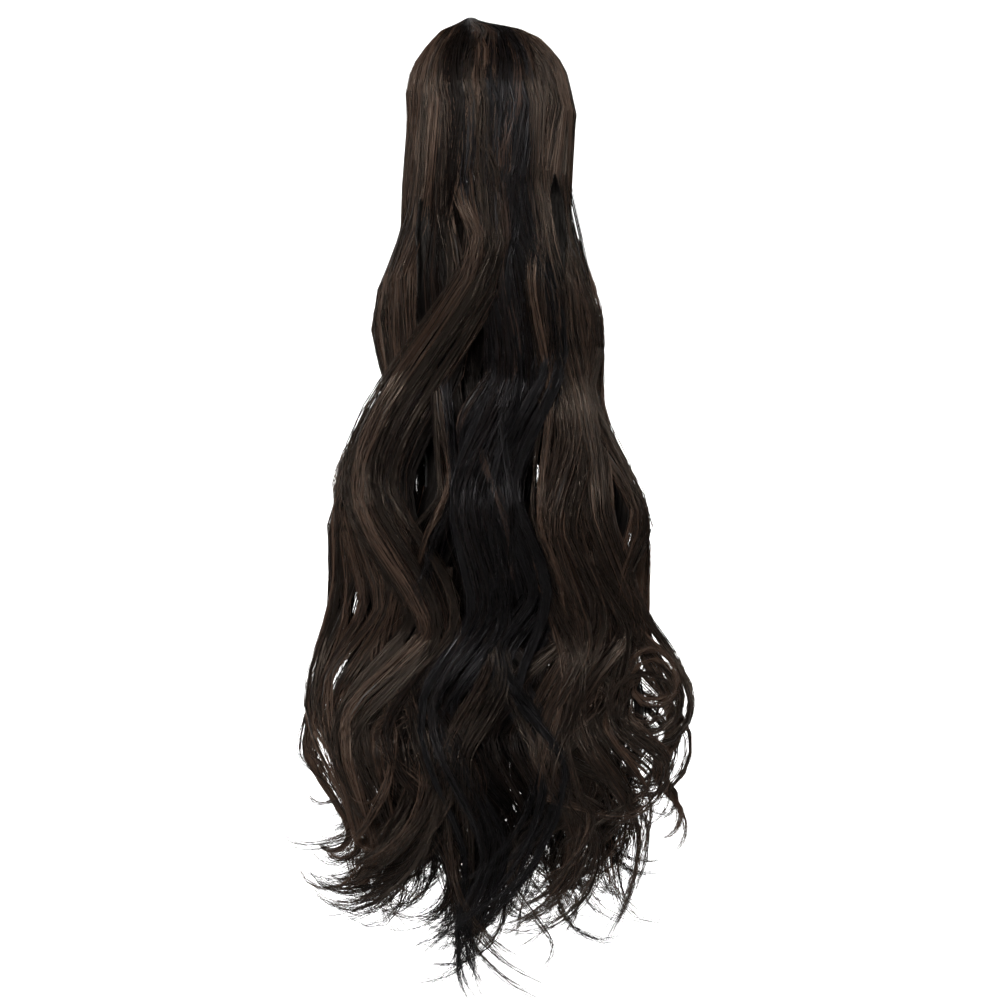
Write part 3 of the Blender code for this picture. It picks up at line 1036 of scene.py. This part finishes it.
@dataclass
class Tress:
    """The strands of one lock: wisps of fine strands round slim cores darkened as painted shade, and a few
    that stray.
    """

    lock: Lock
    seed: int
    radius: float = 0.24
    crown_drops: tuple[float, ...] = (0.5, 2.0, 4.5, 8.0, 13.0, 19.0, 26.0, 34.0, 46.0)
    crown_start: float = 60.0
    merge_from: float = 97.0
    merge_to: float = 172.0
    clump: float = 0.55
    tuft_size: int = 6
    stray_share: float = 0.12
    straight_pitch: float = 40.0
    bend_pitch: float = 21.0
    crown_reach: float = 52.0
    core_reach: float = 0.95
    core_bulk: tuple[float, float] = (0.66, 0.32)
    core_map_width: float = 0.07
    rng: np.random.Generator = field(init=False)
    cores: list[Bundle] = field(init=False, default_factory=list)

    def __post_init__(self) -> None:
        """Starts the source of chance."""
        self.rng = np.random.default_rng(self.seed)

    def places(self, count: int) -> Array:
        """Even random places in a unit disc.

        Args:
            count: How many.

        Returns:
            The places.
        """
        reach = np.sqrt(self.rng.uniform(0, 1, count))
        angle = self.rng.uniform(0, math.tau, count)
        return np.stack([reach * np.cos(angle), reach * np.sin(angle)], 1)

    def crown_angle(self, across: Array) -> Array:
        """Where round the crown each strand starts.

        Args:
            across: How far across each strand's root lies.

        Returns:
            The angles, in radians.
        """
        share = np.clip(across / self.crown_reach, -0.985, 0.985)
        if self.lock.layer is Layer.FRONT:
            return -math.pi / 2 + np.arcsin(share)
        side = np.sign(self.lock.turns[0][0] or 1)
        if self.lock.layer is Layer.MIDDLE:
            turn = self.rng.uniform(-0.5, 0.45, len(across))
        else:
            either = self.rng.choice([-1, 1], len(across))
            side = np.where(np.abs(across) < 4, either, np.sign(across))
            turn = 0.30 + 0.60 * (1 - np.abs(share)) + self.rng.uniform(-0.04, 0.04, len(across))
        return np.where(side > 0, turn, math.pi - turn)

    def sample(self, route: Array, ends: Array) -> tuple[Array, Array]:
        """Reads a route at places that crowd where it bends.

        Args:
            route: Points of the route.
            ends: How far along the route each strand reaches, as a share.

        Returns:
            The points for each strand, and how far along the route they lie.
        """
        moves = np.diff(route, axis=0)
        length = np.linalg.norm(moves, axis=1)
        along = moves / length[:, None]
        bend = np.degrees(np.arccos(np.clip((along[1:] * along[:-1]).sum(1), -1, 1)))
        steps = length / self.straight_pitch + np.append(bend, 0) / self.bend_pitch
        effort = np.concatenate([[0], np.cumsum(steps)])
        want = np.linspace(0, 1, self.lock.rings)[None, :] * ends[:, None] * effort[-1]
        points = np.stack([np.interp(want, effort, route[:, i]) for i in range(3)], -1)
        place = np.interp(want, effort, np.concatenate([[0], np.cumsum(length)]) / length.sum())
        return points, place

    def on_crown(self, spots: Array) -> Array:
        """Tells strands that start on the crown's top from those that start under its rim.

        Args:
            spots: The strands' places in the lock's section.

        Returns:
            Whether each starts on the top.
        """
        if self.lock.root_drop > CROWN_DROP:
            return np.zeros(len(spots), bool)
        if self.lock.name.startswith("over") or "outer" in self.lock.name:
            return np.ones(len(spots), bool)
        if self.lock.layer is Layer.FRONT:
            return spots[:, 1] < 0.35
        return spots[:, 1] > (0.2 if self.lock.layer is Layer.BACK else 2.0)

    def wisps(self) -> list[Bundle]:
        """The strands of every wisp.

        Returns:
            Points, tones and radii of each bundle. Strands from the crown have more points.
        """
        lock = self.lock
        spots = self.places(lock.hairs)
        centres = self.places(lock.wisps) * 0.85
        nearest = np.argmin(((spots[:, None] - centres[None]) ** 2).sum(2), 1)
        found = []
        for number, centre in enumerate(centres):
            mine = spots[nearest == number]
            tone = lock.warmth_and_light * self.rng.choice([0.1, 0.6, 1.1, 1.6]) + self.rng.normal(0, 0.06)
            wisp = lock.wisp(self.rng)
            found += self.bundle(wisp, mine, centre, tone, 1.0, 1.0)
            self.cores.append(self.core(wisp, centre, tone, math.sqrt(len(mine) / lock.hairs)))
        for _ in range(round(lock.hairs * self.stray_share / 3)):
            centre = self.places(1)[0]
            mine = centre + self.rng.normal(0, 0.12, (3, 2))
            wisp = lock.wisp(self.rng, 1.1)
            found += self.bundle(wisp, mine, centre, lock.warmth_and_light + 0.15, 0.36, 1.12)
        return found

    def bundle(self, wisp: Lock, mine: Array, centre: Array, tone: float, fineness: float,
               width: float) -> list[Bundle]:
        """The strands that follow one wisp.

        Args:
            wisp: The lock that they follow.
            mine: Their places in its section.
            centre: The place that they draw together to.
            tone: Their middle tone.
            fineness: Their radius as a share of the usual one.
            width: How wide they spread, as a share of the lock.

        Returns:
            Points, tones and radii, apart for strands on the crown and under it.
        """
        rng, found = self.rng, []
        crowned = self.on_crown(mine)
        for on_top in (True, False):
            spots = mine[crowned == on_top]
            if not len(spots):
                continue
            ends = 1 - np.abs(rng.normal(0, 0.055, len(spots)))
            route = wisp.route(self.crown_start if on_top else wisp.root_drop)
            points, place = self.sample(route, ends)
            points = self.spread(wisp, points, place, spots * width, centre * width)
            if on_top:
                points = self.crowned(points)
            # Strands that start under the crown's rim are 0.12 darker, as painted shade inside the hair.
            tones = np.clip(tone + rng.normal(0, 0.22, len(spots)) - (0.0 if on_top else 0.12), 0, 1)
            rings = np.linspace(0, 1, points.shape[1])
            taper = np.interp(rings, [0, 0.12, 0.7, 1.0], [0.7, 1.0, 1.0, 0.4])
            radii = self.radius * fineness * rng.uniform(0.65, 1.35, (len(spots), 1)) * taper[None]
            found.append((points, tones, np.stack([radii, radii], -1)))
        return found

    def spread(self, wisp: Lock, points: Array, place: Array, mine: Array, centre: Array) -> Array:
        """Moves strands from the wisp's middle to their own places, drawn together towards the tip.

        Args:
            wisp: The lock that the wisp follows.
            points: The wisp's middle for each strand.
            place: How far along the wisp each point lies.
            mine: The strands' places in the lock's section at the root.
            centre: The wisp's own place there.

        Returns:
            The strands' points.
        """
        chosen = self.rng.integers(0, len(mine), max(1, len(mine) // self.tuft_size))
        tufts = mine[chosen]
        near = tufts[np.argmin(((mine[:, None] - tufts[None]) ** 2).sum(2), 1)]
        drawn = 1 - (1 - self.clump) * eased((place - 0.12) / 0.62)
        loose = 1 - 0.5 * eased((place - 0.55) / 0.45)
        a, b = (
            centre[i]
            + ((near[:, i, None] - centre[i]) + (mine - near)[:, i, None] * loose) * drawn
            for i in (0, 1)
        )
        full = wisp.fullness(place)
        side, out = across_frames(points, 1e-9)
        width = np.maximum(full * wisp.width / 2, 2.2)
        thick = np.maximum(full * wisp.thick / 2, 1.6)
        waver = self.waver(place)
        a_mm, b_mm = a * width + waver[..., 0], b * thick + waver[..., 1]
        return points + side * a_mm[..., None] + out * b_mm[..., None]

    def waver(self, place: Array) -> Array:
        """Small sways of each strand by itself, which grow towards the tip.

        Args:
            place: How far along the wisp each point of each strand lies.

        Returns:
            The sways in the two directions across, in millimetres.
        """
        rng, count = self.rng, len(place)
        total = 0.0
        for octave in (1, 2):
            height = rng.normal(0, 0.55 / octave, (count, 1, 2))
            turns = place[..., None] * rng.uniform(2.0, 3.4) * octave
            phase = rng.uniform(0, 1, (count, 1, 2))
            total = total + height * np.sin(math.tau * (turns + phase))
        return total * (0.3 + 1.7 * place[..., None])

    def crowned(self, points: Array) -> Array:
        """Carries strands up over the crown.

        Args:
            points: The strands' points along the lock.

        Returns:
            The points, with those over the crown before them.
        """
        rng = self.rng
        ripple, phase, lean = rng.uniform(60, 130), rng.uniform(0, 1), rng.normal(0, 0.10)
        level_lift = rng.uniform(0.5, 2.0) * self.lock.crown_lift
        own_lift = rng.uniform(0, 0.9, len(points))[:, None] * self.lock.crown_lift
        parting = rng.uniform(0.0, 0.16)
        angle = self.crown_angle(points[:, 0, 0] + rng.normal(0, 0.8, len(points)))[:, None]

        def over_crown(drop: Array) -> Array:
            """Points on the crown, leaning and rippling with their wisp.

            Args:
                drop: How far below the crown's top.

            Returns:
                The points, in millimetres.
            """
            from_front = angle + math.pi / 2 - 0.03
            gap = parting * np.sign(from_front) * np.exp(-((from_front / 0.45) ** 2))
            gap = gap * eased(drop / 12) * (1 - eased((drop - 34) / 58))
            sway = lean * np.sin(math.tau * (drop / 150 + phase)) * eased(drop / 30)
            lift = own_lift + level_lift * (1 + 0.45 * np.sin(math.tau * (drop / ripple + phase)))
            lift = lift * np.minimum(1, drop / 8)
            return crown_surface(angle + gap + sway, drop, lift)

        drop = CROWN_HEIGHT - points[..., 2]
        surface = over_crown(drop)
        first = self.merge_from if self.lock.layer is Layer.FRONT else CROWN_DROP - 7
        share = eased((drop - first) / (self.merge_to - first))[..., None]
        drops = np.array(self.crown_drops)[None, :] + rng.uniform(0, 0.8, (len(points), 1))
        upper = over_crown(drops)
        return np.concatenate([upper, surface + (points - surface) * share], 1)

    def core(self, wisp: Lock, centre: Array, tone: float, share: float) -> Bundle:
        """The smooth middle of one wisp, darkened as painted shade for the hair inside it.

        Args:
            wisp: The lock that the wisp follows.
            centre: The wisp's place in the lock's section.
            tone: The wisp's tone.
            share: How much of the lock's width it takes up.

        Returns:
            The points, tone and radii of one tapering tube.
        """
        points, place = self.sample(wisp.route(wisp.root_drop), np.array([self.core_reach]))
        points = self.spread(wisp, points, place, centre[None], centre)
        bulk = self.core_bulk[0 if wisp.root_drop < CROWN_DROP else 1]
        swell = np.interp(place, [0.0, 0.04, 0.14, 0.6, 0.95], [0.02, 0.15, 1.0, 0.85, 0.05])
        taper = wisp.fullness(place) * swell * share * bulk
        radii = np.stack([taper * wisp.width * 0.42, taper * wisp.thick * 0.36], -1)
        # The core's tone is cut to 0.4 of the wisp's, as painted shade.
        return points, np.clip(np.array([tone * 0.4]), 0.0, 1.0), radii

    def meshes(self, uv_name: str) -> list[bpy.types.Mesh]:
        """Makes the meshes of this lock's strands and cores.

        Args:
            uv_name: The name of the map.

        Returns:
            A mesh for each count of rings, and one of the cores.
        """
        found = self.wisps()
        groups = []
        for rings in sorted({points.shape[1] for points, _, _ in found}):
            same = [bundle for bundle in found if bundle[0].shape[1] == rings]
            groups.append((StrandMesh(rings), same))
        groups.append((StrandMesh(self.lock.rings, 8, self.core_map_width), self.cores))
        made = []
        for strands, group in groups:
            points, tones, radii = (np.concatenate([bundle[i] for bundle in group]) for i in range(3))
            made.append(strands.build(kept_near(points) * MM, radii * MM, tones, uv_name))
        return made


@dataclass
class HairPiece:
    """A piece of the model that joins the strands of several locks."""

    name: str
    nodes: tuple[str, ...]
    locks: tuple[Lock, ...]
    seed: int

    def build(self, finish: bpy.types.Material) -> bpy.types.Object:
        """Builds the piece, dresses it and lets it ride on the frame.

        Args:
            finish: The hair's material.

        Returns:
            The piece.
        """
        bm = bmesh.new()
        for number, lock in enumerate(self.locks):
            for mesh in Tress(lock, self.seed * 100 + number).meshes(HairFinish.uv_name):
                bm.from_mesh(mesh)
                bpy.data.meshes.remove(mesh)
        mesh = mesh_from(bm, self.name)
        mesh.materials.append(finish)
        piece = added(self.name, mesh)
        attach(piece, "root")
        if self.nodes:
            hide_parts(*self.nodes)
        LOG.info("%s: %d faces", self.name, len(mesh.polygons))
        return piece


@dataclass
class Clip:
    """The jaw clip, its woven bands and the crown's underlayer, which keep the frame's shapes."""

    def dress(self) -> None:
        """Gives the frame's nodes that stay in view their materials."""
        worn = {
            "claw_clip": PlasticFinish().material(),
            "crown_hair": CrownFinish().material(),
        }
        worn["weft_band_left"] = worn["weft_band_right"] = BandFinish().material()
        for node, finish in worn.items():
            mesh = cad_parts[node].data
            mesh.materials.clear()
            mesh.materials.append(finish)
            LOG.info("%s: %s", node, finish.name)


@dataclass
class Studio:
    """Pale floor and backdrop in one sweep, soft lights and the camera."""

    floor_z: float = -0.66
    wall_y: float = 1.9
    half_width: float = 4.0
    front_y: float = -3.0
    bend_radius: float = 0.7
    wall_top: float = 2.4
    lens: float = 85.0
    picture_width: float = 0.610
    picture_centre: tuple[float, float] = (0.0061, -0.2380)
    subject_y: float = -0.0275

    def sweep(self) -> bpy.types.Object:
        """Makes the floor, which bends up into the wall behind.

        Returns:
            The sweep.
        """
        bm = bmesh.new()
        points = [(self.front_y, self.floor_z), (self.wall_y - self.bend_radius, self.floor_z)]
        for step in range(1, 13):
            turn = math.radians(90 * step / 12)
            points.append((
                self.wall_y - self.bend_radius * (1 - math.sin(turn)),
                self.floor_z + self.bend_radius * (1 - math.cos(turn)),
            ))
        points.append((self.wall_y, self.wall_top))
        verts = [bm.verts.new((-self.half_width, y, z)) for y, z in points]
        edges = [bm.edges.new(pair) for pair in zip(verts, verts[1:])]
        made = bmesh.ops.extrude_edge_only(bm, edges=edges)["geom"]
        moved = [v for v in made if isinstance(v, bmesh.types.BMVert)]
        bmesh.ops.translate(bm, vec=(2 * self.half_width, 0, 0), verts=moved)
        for face in bm.faces:
            face.smooth = True
        mesh = mesh_from(bm, "sweep")
        mesh.materials.append(BackdropFinish().material())
        sweep = added("sweep", mesh)
        return sweep

    def light(self, name: str, place: Place, target: Place, size: tuple[float, float],
              watts: float, colour: Colour, spread: float) -> None:
        """Adds a soft box.

        Args:
            name: The light's name.
            place: Where it stands.
            target: The point that it faces.
            size: Its width and height.
            watts: Its power.
            colour: Its colour.
            spread: The angle of its beam, in degrees.
        """
        lamp = bpy.data.lights.new(name, "AREA")
        lamp.shape, lamp.size, lamp.size_y = "RECTANGLE", *size
        lamp.energy, lamp.color, lamp.spread = watts, colour, math.radians(spread)
        stand = added(name, lamp)
        stand.location = place
        stand.rotation_euler = (Vector(target) - Vector(place)).to_track_quat("-Z", "Y").to_euler()
        stand.visible_camera = False

    def build(self) -> None:
        """Sets the stage, the lights, the world and the camera."""
        scene = bpy.context.scene
        self.sweep()
        middle, floor = (0.0, 0.0, -0.2), (0.0, 0.95, self.floor_z)
        self.light("key", place=(-0.32, -1.70, 0.56), target=(0.0, 0.0, -0.17), size=(0.7, 1.2),
                   watts=5.6, colour=(1.0, 0.98, 0.95), spread=36)
        self.light("fill", place=(1.3, -1.6, 0.1), target=middle, size=(0.8, 1.2),
                   watts=0.4, colour=(1.0, 0.96, 0.92), spread=50)
        self.light("floor", place=(0.0, 0.95, 0.5), target=floor, size=(2.4, 0.5),
                   watts=6.0, colour=WHITE, spread=80)
        for side in (-1, 1):
            self.light(f"backdrop_light_{side}", place=(side * 1.5, 0.55, 0.9),
                       target=(side * 0.4, self.wall_y, -0.3), size=(0.6, 1.2),
                       watts=21.0, colour=WHITE, spread=112)
            self.light(f"rear_light_{side}", place=(side * 1.5, 0.9, 0.5), target=middle,
                       size=(0.8, 1.2), watts=3.0, colour=(1.0, 0.97, 0.94), spread=40)
        world = bpy.data.worlds.new("studio")
        world.use_nodes = True
        background = world.node_tree.nodes["Background"]
        background.inputs["Color"].default_value = (1.0, 1.0, 1.0, 1.0)
        background.inputs["Strength"].default_value = 0.03
        scene.world = world
        scene.view_settings.view_transform = "Standard"
        self.camera(scene)

    def camera(self, scene: bpy.types.Scene) -> None:
        """Places the camera in front of the hair, level with the picture's middle.

        Args:
            scene: The scene that it looks at.
        """
        data = bpy.data.cameras.new("camera")
        data.lens, data.sensor_width = self.lens, 36.0
        half = math.atan(data.sensor_width / 2 / self.lens)
        distance = self.picture_width / 2 / math.tan(half)
        camera = added("camera", data)
        camera.location = (self.picture_centre[0], self.subject_y - distance, self.picture_centre[1])
        camera.rotation_euler = (math.radians(90), 0, 0)
        scene.camera = camera


def main() -> None:
    """Builds the hair, dresses the clip and sets the studio."""
    logging.basicConfig(level=logging.INFO, format="%(message)s")
    Clip().dress()
    # The hair finish comes in lit and shaded copies that stand in for light and shade. The lit copy has
    # more gloss and a warm highlight tint, for locks in the light. The centre copy has less gloss, a cool
    # painted tint on its highlights, and tips darkened as painted shade. The shaded copy has the least
    # gloss and goes on hair that lies in shade.
    lit_warm = HairFinish("lit_warm_brown_hair", (1.0, 0.80, 0.66), 0.36).material()
    shaded_cool = HairFinish("shaded_cool_brown_hair", (0.96, 0.94, 1.0), 0.20, tip_tone_and_shade=0.22).material()
    shade = HairFinish("shaded_brown_hair", (1.0, 0.92, 0.86), 0.10).material()
    left, right = Undergrowth(-1, 11, 60, 1.0).locks(), Undergrowth(1, 12, 62, 0.2).locks()
    # Undergrowth locks in the light take the lit copy of the finish; the rest take the shaded copy, as
    # painted shade.
    left_lit, right_lit = ([k for k in locks if k.is_lit] for locks in (left, right))
    left_shaded, right_shaded = ([k for k in locks if not k.is_lit] for locks in (left, right))
    left_fill, right_fill, back_fill = (
        [f.lock() for f in fillers] for fillers in (LEFT_FILLERS, RIGHT_FILLERS, BACK_FILLERS)
    )
    for name, nodes, locks, seed, finish in (
        ("front_left_strands", ("front_hair",), (*FRONT_LEFT, OVERLAYS[0]), 1, lit_warm),
        ("front_centre_strands", ("front_hair",), (*FRONT_CENTRE, *OVERLAYS[1:5]), 2, shaded_cool),
        ("front_right_strands", ("front_hair",), (*FRONT_RIGHT, OVERLAYS[5]), 3, lit_warm),
        ("front_under_strands", ("front_hair",), FRONT_UNDER, 7, shade),
        ("left_strands", ("left_hair",), (LEFT_OUTER, *LEFT_LOW, *left_lit), 4, lit_warm),
        ("right_strands", ("right_hair",), (RIGHT_OUTER, *RIGHT_LOW, *right_lit), 5, lit_warm),
        ("left_under_strands", ("left_hair",), (*left_fill, *left_shaded), 8, shade),
        ("right_under_strands", ("right_hair",), (*right_fill, *right_shaded), 9, shade),
        ("back_strands", ("back_hair",), tuple(back_fill), 6, shaded_cool),
    ):
        HairPiece(name, nodes, locks, seed).build(finish)
    Studio().build()


if __name__ == "__main__":
    main()
